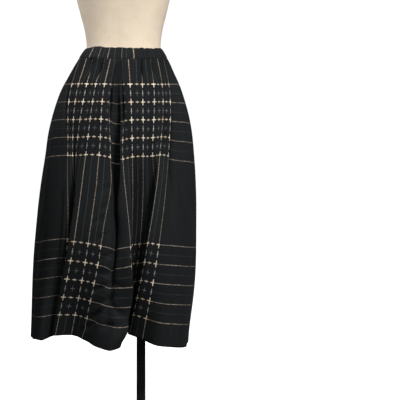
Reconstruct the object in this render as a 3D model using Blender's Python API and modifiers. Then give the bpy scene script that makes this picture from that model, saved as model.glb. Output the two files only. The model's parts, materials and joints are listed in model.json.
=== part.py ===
"""Gathered midi skirt hanging on a limbless dress form with a round stand."""

import math

import bmesh
import bpy
import numpy as np

# Driving dimensions, in metres. The origin is the middle of the base's underside.
EYE_HEIGHT = 0.760          # level that the fold table's heights are measured from
WAIST = (-0.0405, -0.070)   # axis of the waist, which stands off the pole's axis
CLOTH = 0.0016              # wall of the two skirt panels
BAND_WALL = 0.0028          # wall of the elastic waistband
GAP = 0.0004                # clearance where two pieces meet
SEAM_GAP = 0.0015           # width of cloth left out at a side seam, so that the panels stay apart
PANEL_COLUMNS = 104         # faces along the width of one panel
BAND_COLUMNS = 120
FORM_COLUMNS = 40
GATHERS = 44                # small gathers round the top of the skirt
POLE_RADIUS = 0.0135
BASE_RADIUS = 0.190
BASE_THICKNESS = 0.012

# The cloth, in centimetres: length down from the waistband and width round the girth.
SEAM_RIGHT, SEAM_LEFT, GIRTH = -50.0, 42.0, 184.0
LEVELS = (0.0, 7.8, 29.4, 53.4, 81.3)
BAND_TOP = (11.05, 9.55, 0.0, 0.0)       # half width, half depth, centre x, centre y
BAND_BOTTOM = (12.95, 10.95, -0.2, 0.0)
SKIRT_TOP = (13.05, 11.05, -0.2, 0.0)
FIRST_ROW = (16.6, 13.4, -0.7, -0.4)

# One row a fold line, in centimetres and degrees (0 in front, + to the wearer's left):
# name, place on the cloth, turn at the waistband, turn at the first stripe,
# then x, y, height where it crosses the hip, the lower block of stripes, and the hem.
FOLDS = (
    ("seam right", -50.0, -92, -80, (-23.0, -2.0, 9.4), (-25.6, -4.2, -15.2), (-26.8, -4.2, -42.6)),
    ("side lobe", -43.0, -81, -66, (-20.5, -7.4, 9.4), (-22.3, -11.2, -14.8), (-24.4, -11.2, -42.3)),
    ("side front", -37.5, -75, -56, (-17.0, -10.9, 9.7), (-18.3, -14.6, -14.0), (-21.5, -14.4, -41.7)),
    ("right edge", -33.0, -71, -50, (-14.0, -12.6, 9.8), (-13.5, -14.2, -13.6), (-19.0, -11.4, -41.2)),
    ("right tuck in", -30.0, -65, -44, (-12.5, -12.9, 9.7), (-11.0, -12.7, -13.9), (-16.5, -9.6, -41.1)),
    ("right tuck", -26.5, -56, -37, (-11.5, -11.9, 9.7), (-9.2, -12.5, -14.1), (-14.0, -9.4, -41.0)),
    ("right tuck out", -22.5, -40, -28, (-10.2, -13.7, 9.7), (-11.6, -15.7, -14.2), (-16.9, -11.9, -40.9)),
    ("facet edge", -21.0, -32, -23, (-9.3, -14.5, 9.7), (-12.3, -17.2, -14.2), (-18.1, -13.0, -40.9)),
    ("column 3", -19.0, -22, -17, (-8.0, -14.8, 9.8), (-10.6, -17.9, -14.2), (-17.0, -13.8, -40.8)),
    ("column 2", -14.5, -9, -7.5, (-4.1, -15.5, 9.6), (-6.3, -19.3, -14.6), (-12.6, -12.9, -40.7)),
    ("column 1", -10.0, 0, -0.5, (-1.2, -15.6, 9.0), (-2.8, -19.7, -15.2), (-9.0, -15.3, -41.3)),
    ("pleat edge right", -7.5, 3, 2.6, (-0.2, -15.4, 8.5), (-0.6, -19.9, -15.5), (-7.1, -17.3, -41.6)),
    ("pleat back right", -3.5, 4.6, 4.2, (-0.9, -12.9, 7.6), (1.3, -18.8, -15.9), (-4.5, -20.8, -42.1)),
    ("pleat middle", 0.0, 5.6, 5.4, (1.0, -12.6, 7.3), (1.9, -16.6, -16.2), (-1.6, -22.9, -42.5)),
    ("pleat back left", 3.5, 6.6, 6.6, (2.9, -13.0, 7.6), (2.5, -18.4, -16.0), (1.2, -23.6, -42.9)),
    ("pleat edge left", 7.5, 8.2, 8.4, (1.9, -15.2, 8.4), (4.0, -19.2, -15.8), (3.0, -21.0, -42.8)),
    ("column 4", 10.5, 10, 10.8, (2.7, -15.3, 8.5), (5.3, -18.6, -15.7), (2.6, -17.3, -42.6)),
    ("column 5", 14.5, 16, 17, (5.1, -14.9, 9.1), (5.6, -15.0, -15.2), (1.3, -12.2, -42.3)),
    ("deep fold right", 18.0, 24, 26, (7.3, -14.2, 9.3), (6.1, -12.0, -15.0), (1.0, -7.9, -42.2)),
    ("deep fold left", 21.5, 33, 35, (8.9, -12.5, 9.3), (7.6, -12.4, -14.8), (2.2, -5.4, -41.8)),
    ("column 6", 25.0, 46, 45, (11.2, -12.8, 9.5), (8.9, -15.7, -14.5), (3.3, -7.4, -41.2)),
    ("column 7", 28.0, 56, 52, (12.4, -12.3, 9.7), (9.7, -17.2, -14.4), (3.9, -9.4, -40.8)),
    ("column 8", 32.5, 67, 60, (14.4, -11.0, 9.4), (12.5, -15.7, -14.9), (7.4, -11.5, -41.6)),
    ("left tuck", 37.0, 74, 64, (14.2, -9.1, 8.9), (15.8, -13.0, -15.3), (11.4, -14.1, -42.6)),
    ("seam left", 42.0, 80, 69, (16.4, -9.4, 8.3), (18.8, -9.6, -15.8), (15.8, -13.4, -43.1)),
    ("left side", 49.0, 90, 81, (19.6, -5.0, 8.0), (20.9, -3.9, -16.3), (19.2, -7.5, -44.0)),
    ("left side back", 55.0, 97, 93, (20.6, 0.4, 7.9), (21.1, 2.0, -16.6), (19.9, -1.4, -44.3)),
    ("back 1", 60.5, 105, 103, (19.5, 5.0, 8.0), (20.3, 7.2, -16.6), (20.2, 4.4, -44.3)),
    ("back 2", 66.0, 114, 112, (17.2, 8.6, 8.1), (18.2, 11.6, -16.5), (18.6, 9.8, -44.3)),
    ("back 3", 70.5, 121, 120, (15.3, 9.4, 8.1), (14.9, 11.3, -16.5), (14.5, 10.2, -44.4)),
    ("back 4", 76.0, 130, 128, (13.2, 11.9, 8.2), (13.0, 15.0, -16.5), (13.4, 15.0, -44.5)),
    ("back 5", 82.0, 141, 139, (9.8, 13.6, 8.2), (8.7, 16.9, -16.5), (8.2, 17.9, -44.5)),
    ("back 6", 86.5, 151, 149, (7.6, 12.6, 8.2), (5.9, 14.3, -16.4), (4.9, 14.4, -44.3)),
    ("back 7", 91.5, 166, 166, (4.2, 14.3, 8.3), (2.4, 17.0, -16.4), (1.3, 18.2, -44.5)),
    ("back 8", 97.5, 184, 184, (-1.0, 14.2, 8.4), (-3.5, 17.3, -16.3), (-5.0, 19.2, -44.5)),
    ("back 9", 102.0, 196, 196, (-3.6, 12.5, 8.4), (-6.1, 13.9, -16.2), (-7.5, 14.2, -44.1)),
    ("back 10", 107.0, 207, 208, (-7.0, 13.9, 8.6), (-9.8, 16.2, -16.0), (-11.2, 17.0, -44.1)),
    ("back 11", 113.0, 222, 222, (-12.4, 12.4, 8.8), (-15.3, 14.0, -15.9), (-17.0, 14.8, -43.9)),
    ("back 12", 117.5, 232, 232, (-14.0, 10.4, 8.9), (-16.4, 10.8, -15.8), (-18.0, 10.4, -43.4)),
    ("back 13", 122.0, 243, 241, (-17.8, 9.2, 9.1), (-20.6, 9.9, -15.6), (-22.6, 10.0, -43.3)),
    ("back 14", 128.0, 257, 259, (-21.5, 4.0, 9.3), (-24.5, 3.6, -15.4), (-26.6, 3.0, -42.9)),
)

# Sections of the dress form, in centimetres:
# height above eye level, half width, half depth, centre y.
FORM = (
    (8.0, 12.6, 8.6, 0.2),
    (8.8, 14.2, 9.8, 0.2),
    (12.0, 15.2, 10.6, 0.2),
    (19.0, 15.4, 10.7, 0.2),
    (26.0, 14.4, 10.4, 0.1),
    (32.0, 12.7, 9.9, 0.0),
    (37.0, 11.2, 9.5, 0.0),
    (41.0, 10.83, 9.33, 0.0),
    (46.0, 11.3, 9.6, -0.1),
    (52.0, 12.8, 10.4, -0.4),
    (58.0, 14.2, 11.5, -0.9),
    (64.0, 15.0, 12.0, -1.1),
    (70.0, 15.3, 10.9, -0.4),
    (76.0, 16.2, 9.2, 0.5),
    (79.5, 15.4, 8.0, 0.9),
    (82.0, 12.2, 7.0, 1.1),
    (84.0, 8.6, 6.3, 1.0),
    (86.0, 6.3, 6.0, 0.8),
    (91.0, 5.6, 5.8, 0.5),
)


def clear_scene():
    for thing in list(bpy.data.objects):
        bpy.data.objects.remove(thing)
    for group in list(bpy.data.collections):
        bpy.data.collections.remove(group)


def smooth_curve(knots, values, at):
    """Cubic curve through the values, with slopes from the neighbours on both sides."""
    knots, values, at = np.asarray(knots, float), np.asarray(values, float), np.asarray(at, float)
    steps = np.diff(knots)
    slopes = np.diff(values) / steps
    ends = np.empty(len(knots))
    ends[1:-1] = (slopes[:-1] * steps[1:] + slopes[1:] * steps[:-1]) / (steps[:-1] + steps[1:])
    ends[0], ends[-1] = slopes[0], slopes[-1]
    i = np.clip(np.searchsorted(knots, at) - 1, 0, len(steps) - 1)
    t = (at - knots[i]) / steps[i]
    near = (1 + 2 * t) * (1 - t) ** 2 * values[i] + t * (1 - t) ** 2 * steps[i] * ends[i]
    far = t * t * (3 - 2 * t) * values[i + 1] - t * t * (1 - t) * steps[i] * ends[i + 1]
    return near + far


def around(values, at, girth_step=0.0):
    """The fold table's values as a closed curve round the girth."""
    u = np.array([fold[1] for fold in FOLDS])
    knots = np.concatenate([u[-4:] - GIRTH, u, u[:4] + GIRTH])
    values = np.asarray(values, float)
    ring = np.concatenate([values[-4:] - girth_step, values, values[:4] + girth_step])
    return smooth_curve(knots, ring, at)


def on_oval(oval, degrees):
    wide, deep, x, y = oval
    turn = np.radians(degrees)
    return x + wide * np.sin(turn), y - deep * np.cos(turn)


def front_share(degrees):
    return np.clip(np.cos(np.radians(np.asarray(degrees) - 15)), 0, 1) ** 1.5


def band_heights(degrees):
    """Heights of the waistband's lower and upper edge, lower in front."""
    dip = front_share(degrees)
    return 38.2 - 1.5 * dip, 41.1 - 1.1 * dip


def gather_wave(u, v):
    """Small uneven gathers, close together under the waistband and merging lower down."""
    turn = 2 * math.pi * (u - SEAM_RIGHT) / GIRTH
    phase = GATHERS * turn + 1.1 * np.sin(3 * turn + 0.6) + 0.7 * np.sin(7 * turn + 2.1)
    uneven = 0.78 + 0.22 * np.sin(5 * turn + 1.3) * np.sin(11 * turn + 0.4)
    fine = np.interp(v, (0, 2, 6, 12, 20), (0.05, 0.26, 0.27, 0.12, 0.0))
    middle = np.interp(v, (0, 3, 9, 17, 26, 36), (0.0, 0.06, 0.20, 0.17, 0.07, 0.0))
    broad = np.interp(v, (0, 10, 24, 44, 62, 81), (0.0, 0.04, 0.16, 0.20, 0.12, 0.06))
    return uneven * (
        fine * np.cos(phase)
        + middle * np.cos(phase / 2 + 0.9 + 0.8 * np.sin(4 * turn))
        + broad * np.cos(phase / 4 + 2.0 * np.sin(2 * turn + 0.5))
    )


def cloth_points(u, v):
    """Middle of the cloth for every pair of u (round) and v (down), in centimetres."""
    u, v = np.asarray(u, float), np.asarray(v, float)
    waist_turn = around([fold[2] for fold in FOLDS], u, 360.0)
    row_turn = around([fold[3] for fold in FOLDS], u, 360.0)
    rings = [np.stack([*on_oval(SKIRT_TOP, waist_turn), band_heights(waist_turn)[0]])]
    row_height = 30.6 - 1.3 * front_share(row_turn)
    rings.append(np.stack([*on_oval(FIRST_ROW, row_turn), row_height]))
    for place in (4, 5, 6):
        rings.append(np.stack([around([fold[place][axis] for fold in FOLDS], u) for axis in range(3)]))
    rings = np.array(rings)
    grid = np.empty((len(u), len(v), 3))
    for i in range(len(u)):
        for axis in range(3):
            grid[i, :, axis] = smooth_curve(LEVELS, rings[:, axis, i], v)
    along = np.gradient(grid[:, :, :2], axis=0)
    across = np.stack([along[:, :, 1], -along[:, :, 0]], axis=2)
    across /= np.maximum(np.linalg.norm(across, axis=2, keepdims=True), 1e-6)
    grid[:, :, :2] += across * gather_wave(u[:, None], v[None, :])[:, :, None]
    return grid


def to_world(points):
    points = np.asarray(points, float) / 100
    return points + np.array([WAIST[0], WAIST[1], EYE_HEIGHT])


def paint(piece, colour, roughness, metallic=0.0):
    material = bpy.data.materials.new(piece.name + "_material")
    material.use_nodes = True
    shader = material.node_tree.nodes["Principled BSDF"]
    shader.inputs["Base Color"].default_value = (*colour, 1)
    shader.inputs["Roughness"].default_value = roughness
    shader.inputs["Metallic"].default_value = metallic
    piece.data.materials.clear()
    piece.data.materials.append(material)


def add_object(name, points, faces, group):
    mesh = bpy.data.meshes.new(name)
    mesh.from_pydata([tuple(p) for p in points], [], faces)
    mesh.update()
    mesh.shade_smooth()
    piece = bpy.data.objects.new(name, mesh)
    group.objects.link(piece)
    return piece


def lofted(name, grid, closed, group):
    """Open surface through the columns of a grid that runs round, then down."""
    columns, rows = grid.shape[:2]
    faces = []
    for i in range(columns if closed else columns - 1):
        k = (i + 1) % columns
        for j in range(rows - 1):
            faces.append((i * rows + j, i * rows + j + 1, k * rows + j + 1, k * rows + j))
    return add_object(name, to_world(grid.reshape(-1, 3)), faces, group)


def thicken(piece, wall):
    shell = piece.modifiers.new("Wall", "SOLIDIFY")
    shell.thickness = wall
    shell.offset = 0
    shell.use_rim = True


def skirt_panel(name, start, end, group):
    edge = SEAM_GAP * 100 / 2
    u = np.linspace(start + edge, end - edge, PANEL_COLUMNS + 1)
    v = np.array([0.0, 2.5, 6.5, 12.0, 19.5, 29.4, 41.0, 54.0, 68.0, 81.3])
    grid = cloth_points(np.concatenate([[start - edge], u, [end + edge]]), v)[1:-1]
    grid[:, 0, 2] -= GAP * 100 / 2
    panel = lofted(name, grid, False, group)
    thicken(panel, CLOTH)
    paint(panel, (0.012, 0.014, 0.015), 0.9)


def waistband(group):
    degrees = np.linspace(-180, 180, BAND_COLUMNS, endpoint=False)
    turn = np.radians(degrees)
    low, high = band_heights(degrees)
    low = low + GAP * 100 / 2
    ripple = 0.05 * np.cos(30 * turn + 1.2 * np.sin(3 * turn) + 0.8 * np.sin(5 * turn))
    share = (1.0, 0.5, 0.0)
    grid = np.empty((BAND_COLUMNS, len(share), 3))
    for j, t in enumerate(share):
        oval = [t * a + (1 - t) * b for a, b in zip(BAND_TOP, BAND_BOTTOM)]
        bulge = 0.10 * 4 * t * (1 - t)
        oval[0] += bulge
        oval[1] += bulge
        x, y = on_oval(oval, degrees)
        grid[:, j, 0] = x + ripple * np.sin(turn)
        grid[:, j, 1] = y - ripple * np.cos(turn)
        grid[:, j, 2] = t * high + (1 - t) * low
    band = lofted("waistband", grid, True, group)
    thicken(band, BAND_WALL)
    paint(band, (0.013, 0.014, 0.016), 0.9)


def dress_form(group):
    """The torso, lofted through its sections, with a low bust in front."""
    turn = np.radians(np.linspace(-180, 180, FORM_COLUMNS, endpoint=False))
    grid = np.empty((FORM_COLUMNS, len(FORM), 3))
    for j, (height, wide, deep, middle) in enumerate(reversed(FORM)):
        bust = 1.5 * math.exp(-((height - 63.5) / 5.2) ** 2)
        side = np.exp(-((np.abs(np.degrees(turn)) - 34) / 20) ** 2)
        grid[:, j, 0] = wide * np.sin(turn)
        grid[:, j, 1] = middle - deep * np.cos(turn) - bust * side
        grid[:, j, 2] = height
    torso = lofted("form_torso", grid, True, group)
    shape = bmesh.new()
    shape.from_mesh(torso.data)
    bmesh.ops.holes_fill(shape, edges=[edge for edge in shape.edges if edge.is_boundary], sides=0)
    bmesh.ops.recalc_face_normals(shape, faces=shape.faces)
    shape.to_mesh(torso.data)
    shape.free()
    paint(torso, (0.70, 0.60, 0.45), 0.85)


def turned(name, profile, place, sides, colour, roughness, group):
    """A turned body from (radius, height) pairs that run down its outer side."""
    points = [(0, 0, profile[0][1]), *((r, 0, z) for r, z in profile), (0, 0, profile[-1][1])]
    mesh = bpy.data.meshes.new(name)
    mesh.from_pydata(points, [(i, i + 1) for i in range(len(points) - 1)], [])
    piece = bpy.data.objects.new(name, mesh)
    piece.location = place
    group.objects.link(piece)
    turn = piece.modifiers.new("Turned", "SCREW")
    turn.axis = "Z"
    turn.steps = turn.render_steps = sides
    turn.use_merge_vertices = True
    turn.merge_threshold = 0.00005
    paint(piece, colour, roughness, 0.2)


def pole(low, high, group):
    bpy.ops.mesh.primitive_cylinder_add(vertices=24, radius=POLE_RADIUS, depth=high - low,
                                        location=(0, 0, (low + high) / 2))
    piece = bpy.context.object
    piece.name = piece.data.name = "pole"
    piece.data.shade_smooth()
    piece.data.set_sharp_from_angle(angle=math.radians(40))
    for home in list(piece.users_collection):
        home.objects.unlink(piece)
    group.objects.link(piece)
    paint(piece, (0.012, 0.012, 0.013), 0.35, 0.3)


def main():
    clear_scene()
    group = bpy.data.collections.new("pleated_skirt_on_dress_form")
    bpy.context.scene.collection.children.link(group)

    skirt_panel("front_panel", SEAM_RIGHT, SEAM_LEFT, group)
    skirt_panel("back_panel", SEAM_LEFT, SEAM_RIGHT + GIRTH, group)
    waistband(group)
    dress_form(group)

    neck_top = EYE_HEIGHT + FORM[-1][0] / 100
    turned("neck_cap", [(0.049, 0.010), (0.053, 0.007), (0.053, 0.002), (0.051, 0.0)],
           (WAIST[0], WAIST[1] + 0.005, neck_top + GAP), 32, (0.05, 0.035, 0.025), 0.4, group)

    black = (0.012, 0.012, 0.013)
    under = EYE_HEIGHT + FORM[0][0] / 100 - GAP
    socket = 0.045
    turned("pole_socket", [(0.036, 0.0), (0.036, -0.008), (0.022, -0.012), (0.022, -socket + 0.002),
                           (0.020, -socket)], (0, 0, under), 28, black, 0.45, group)
    hub = BASE_THICKNESS + 0.004
    pole(hub + GAP, under - socket - GAP, group)
    turned("base", [(0.028, hub), (0.030, hub - 0.002), (0.060, BASE_THICKNESS), (BASE_RADIUS - 0.004, 0.010),
                    (BASE_RADIUS, 0.007), (BASE_RADIUS, 0.002), (BASE_RADIUS - 0.002, 0.0)],
           (0, 0, 0), 48, black, 0.4, group)


main()
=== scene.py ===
import math

import bpy
import numpy as np
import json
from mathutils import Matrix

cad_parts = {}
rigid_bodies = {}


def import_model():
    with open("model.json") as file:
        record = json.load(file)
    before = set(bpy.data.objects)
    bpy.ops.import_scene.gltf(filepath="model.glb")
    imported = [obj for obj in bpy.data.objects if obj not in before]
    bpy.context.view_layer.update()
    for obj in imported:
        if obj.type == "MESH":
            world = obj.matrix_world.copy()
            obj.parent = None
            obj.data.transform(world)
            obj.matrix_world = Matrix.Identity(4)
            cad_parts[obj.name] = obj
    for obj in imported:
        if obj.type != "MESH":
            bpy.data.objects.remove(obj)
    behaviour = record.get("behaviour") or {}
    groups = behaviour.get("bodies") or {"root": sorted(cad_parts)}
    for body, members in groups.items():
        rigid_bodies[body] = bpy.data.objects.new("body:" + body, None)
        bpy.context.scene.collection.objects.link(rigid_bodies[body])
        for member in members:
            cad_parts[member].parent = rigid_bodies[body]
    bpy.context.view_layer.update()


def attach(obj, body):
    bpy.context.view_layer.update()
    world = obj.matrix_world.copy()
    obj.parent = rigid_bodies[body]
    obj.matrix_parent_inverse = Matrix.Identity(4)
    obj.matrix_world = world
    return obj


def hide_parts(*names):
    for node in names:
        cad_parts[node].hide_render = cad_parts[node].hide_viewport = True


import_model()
print("model loaded")


def smoothCurve(knots, values, at):
    # cubic through the values, each slope taken from the neighbours on both sides
    knots, values, at = np.asarray(knots, float), np.asarray(values, float), np.asarray(at, float)
    steps = np.diff(knots)
    slopes = np.diff(values) / steps
    ends = np.empty(len(knots))
    ends[1:-1] = (slopes[:-1] * steps[1:] + slopes[1:] * steps[:-1]) / (steps[:-1] + steps[1:])
    ends[0], ends[-1] = slopes[0], slopes[-1]
    i = np.clip(np.searchsorted(knots, at) - 1, 0, len(steps) - 1)
    t = (at - knots[i]) / steps[i]
    near = (1 + 2 * t) * (1 - t) ** 2 * values[i] + t * (1 - t) ** 2 * steps[i] * ends[i]
    far = t * t * (3 - 2 * t) * values[i + 1] - t * t * (1 - t) * steps[i] * ends[i + 1]
    return near + far


def toWorld(points):
    # centimetres from the waist axis at eye level to metres in the model
    return np.asarray(points, float) / 100 + np.array([*skirt["waist"], skirt["eyeHeight"]])


def shapedGrid(name, points, uv=None, closed=False):
    # a flat grid is added, then every vertex goes to its place; columns run round, rows run down
    columns, rows = points.shape[:2]
    bpy.ops.object.select_all(action="DESELECT")
    bpy.ops.mesh.primitive_grid_add(x_subdivisions=columns - 1, y_subdivisions=rows - 1, size=1)
    piece = bpy.context.object
    piece.name = piece.data.name = name
    mesh = piece.data
    flat = np.empty(len(mesh.vertices) * 3)
    mesh.vertices.foreach_get("co", flat)
    flat = flat.reshape(-1, 3)
    column = np.rint((flat[:, 0] + 0.5) * (columns - 1)).astype(int)
    row = np.rint((0.5 - flat[:, 1]) * (rows - 1)).astype(int)
    mesh.vertices.foreach_set("co", points[column, row].ravel())
    if uv is not None:
        corners = np.empty(len(mesh.loops), dtype=int)
        mesh.loops.foreach_get("vertex_index", corners)
        layer = mesh.uv_layers.active or mesh.uv_layers.new(name="cloth")
        layer.name = "cloth"
        layer.data.foreach_set("uv", uv[column[corners], row[corners]].ravel())
    mesh.update()
    if closed:
        bpy.ops.object.mode_set(mode="EDIT")
        bpy.ops.mesh.select_all(action="SELECT")
        bpy.ops.mesh.remove_doubles(threshold=0.00002)
        bpy.ops.object.mode_set(mode="OBJECT")
    bpy.ops.object.shade_smooth()
    return piece


def applyAll(piece):
    bpy.ops.object.select_all(action="DESELECT")
    piece.select_set(True)
    bpy.context.view_layer.objects.active = piece
    for modifier in list(piece.modifiers):
        bpy.ops.object.modifier_apply(modifier=modifier.name)


def giveWall(piece, wall, offset=0.0):
    shell = piece.modifiers.new("wall", "SOLIDIFY")
    shell.thickness = wall
    shell.offset = offset
    shell.use_rim = True
    shell.use_even_offset = False
    applyAll(piece)


def dress(piece, material):
    piece.data.materials.clear()
    piece.data.materials.append(material)


class NodeTree:
    # short names for the few node types that the materials use

    def __init__(self, name):
        self.material = bpy.data.materials.new(name)
        self.material.use_nodes = True
        self.tree = self.material.node_tree
        self.shader = self.tree.nodes["Principled BSDF"]

    def node(self, kind, **settings):
        node = self.tree.nodes.new(kind)
        for key, value in settings.items():
            setattr(node, key, value)
        return node

    def link(self, value, socket):
        if isinstance(value, bpy.types.NodeSocket):
            self.tree.links.new(value, socket)
        elif value is not None:
            socket.default_value = value

    def math(self, operation, *values):
        node = self.node("ShaderNodeMath", operation=operation)
        for i, value in enumerate(values):
            self.link(value, node.inputs[i])
        return node.outputs[0]

    def smooth(self, value, low, high, start=0.0, end=1.0):
        node = self.node("ShaderNodeMapRange", interpolation_type="SMOOTHSTEP")
        for socket, entry in zip(node.inputs, (value, low, high, start, end)):
            self.link(entry, socket)
        return node.outputs[0]

    def blend(self, share, first, second):
        # numbers only
        node = self.node("ShaderNodeMix", data_type="FLOAT")
        self.link(share, node.inputs[0])
        self.link(first, node.inputs[2])
        self.link(second, node.inputs[3])
        return node.outputs[0]

    def tint(self, share, first, second, kind="MIX"):
        node = self.node("ShaderNodeMix", data_type="RGBA", blend_type=kind)
        self.link(share, node.inputs[0])
        self.link(first, node.inputs[6])
        self.link(second, node.inputs[7])
        return node.outputs[2]

    def noise(self, vector, scale, detail=2.0, roughness=0.5):
        node = self.node("ShaderNodeTexNoise")
        self.link(vector, node.inputs["Vector"])
        node.inputs["Scale"].default_value = scale
        node.inputs["Detail"].default_value = detail
        node.inputs["Roughness"].default_value = roughness
        return node.outputs[0]

    def stretched(self, vector, scale):
        node = self.node("ShaderNodeMapping")
        self.link(vector, node.inputs["Vector"])
        node.inputs["Scale"].default_value = scale
        return node.outputs[0]

    def bump(self, height, strength, distance, normal=None):
        node = self.node("ShaderNodeBump")
        node.inputs["Strength"].default_value = strength
        node.inputs["Distance"].default_value = distance
        self.link(height, node.inputs["Height"])
        if normal is not None:
            self.link(normal, node.inputs["Normal"])
        return node.outputs[0]


view = {
    "place": (0.411, -2.631, 0.760),
    "turn": (90.0, 0.0, 10.0),
    "lens": 80.0,
    "shift": (0.191, -0.025),
}


def addCamera():
    bpy.ops.object.camera_add(location=view["place"], rotation=[math.radians(a) for a in view["turn"]])
    camera = bpy.context.object
    camera.data.lens = view["lens"]
    camera.data.sensor_width = 36.0
    camera.data.shift_x, camera.data.shift_y = view["shift"]
    camera.data.clip_start = 0.05
    bpy.context.scene.camera = camera


studio = {
    "floorRadius": 30.0, "floorInset": 20.0,
    "floor": (0.93, 0.93, 0.93, 1),
    "floorGlow": (0.74, 1.02),     # beside the stand and far off
    "glowReach": (0.7, 2.0),       # how far from the stand it begins and ends to grow
    "floorBounce": 0.08,
    "skyLight": 0.13, "skySeen": 1.02,
    "lamps": (
        # name, place, aimed at, size, watts, spread in degrees
        ("key", (1.8, -2.0, 2.7), (-0.04, -0.07, 0.95), 0.9, 104.0, 180),
        ("fill", (0.2, -3.1, 1.8), (-0.04, -0.07, 0.95), 1.6, 13.0, 180),
        ("side", (-1.5, -0.7, 2.5), (-0.04, -0.07, 1.55), 0.7, 4.4, 60),
        ("rim", (-0.6, 2.4, 2.2), (-0.04, -0.07, 0.9), 1.4, 22.0, 180),
    ),
}


def addStudio():
    # one wide pale floor under an even white sky
    bpy.ops.object.select_all(action="DESELECT")
    bpy.ops.mesh.primitive_circle_add(vertices=96, radius=studio["floorRadius"], fill_type="NGON",
                                      location=(0, 0, -0.0005))
    floor = bpy.context.object
    floor.name = "floor"
    bpy.ops.object.mode_set(mode="EDIT")
    bpy.ops.mesh.inset(thickness=studio["floorInset"])
    bpy.ops.object.mode_set(mode="OBJECT")
    bpy.ops.object.transform_apply(location=True, rotation=True, scale=True)
    white = (1.0, 1.0, 1.0, 1)
    paper = NodeTree("floor_paper")
    grain = paper.noise(paper.node("ShaderNodeTexCoord").outputs["Object"], 90.0, 3.0)
    paper.shader.inputs["Base Color"].default_value = studio["floor"]
    paper.shader.inputs["Roughness"].default_value = 0.95
    paper.link(paper.bump(grain, 0.1, 0.001), paper.shader.inputs["Normal"])
    paper.shader.inputs["Emission Color"].default_value = white
    # further off the paper is as white as the sky, so no horizon shows
    away = paper.node("ShaderNodeVectorMath", operation="LENGTH")
    paper.link(paper.node("ShaderNodeTexCoord").outputs["Object"], away.inputs[0])
    glow = paper.smooth(away.outputs["Value"], *studio["glowReach"], *studio["floorGlow"])
    paper.link(glow, paper.shader.inputs["Emission Strength"])
    # only part of the floor's light comes back to the cloth, as from paper that lies further off
    dim = paper.node("ShaderNodeBsdfDiffuse")
    dim.inputs["Color"].default_value = (*[studio["floorBounce"]] * 3, 1)
    mix = paper.node("ShaderNodeMixShader")
    paper.link(paper.node("ShaderNodeLightPath").outputs["Is Camera Ray"], mix.inputs[0])
    paper.link(dim.outputs[0], mix.inputs[1])
    paper.link(paper.shader.outputs[0], mix.inputs[2])
    paper.link(mix.outputs[0], paper.tree.nodes["Material Output"].inputs["Surface"])
    dress(floor, paper.material)

    # the sky is seen white, and lights the object a little less
    world = bpy.data.worlds.new("studio")
    world.use_nodes = True
    tree = world.node_tree
    sky = tree.nodes["Background"]
    sky.inputs["Color"].default_value = white
    sky.inputs["Strength"].default_value = studio["skyLight"]
    seen = tree.nodes.new("ShaderNodeBackground")
    seen.inputs["Color"].default_value = white
    seen.inputs["Strength"].default_value = studio["skySeen"]
    ray = tree.nodes.new("ShaderNodeLightPath")
    mix = tree.nodes.new("ShaderNodeMixShader")
    tree.links.new(ray.outputs["Is Camera Ray"], mix.inputs[0])
    tree.links.new(sky.outputs[0], mix.inputs[1])
    tree.links.new(seen.outputs[0], mix.inputs[2])
    tree.links.new(mix.outputs[0], tree.nodes["World Output"].inputs["Surface"])
    bpy.context.scene.world = world

    for name, place, target, size, watts, spread in studio["lamps"]:
        bpy.ops.object.light_add(type="AREA", location=place)
        lamp = bpy.context.object
        lamp.name = name
        lamp.data.size = size
        lamp.data.energy = watts
        lamp.data.spread = math.radians(spread)
        aim = np.array(target) - np.array(place)
        flat = math.hypot(aim[0], aim[1])
        lamp.rotation_euler = (math.atan2(flat, -aim[2]), 0, math.atan2(aim[1], aim[0]) - math.pi / 2)
    bpy.context.scene.view_settings.view_transform = "Standard"


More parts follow.
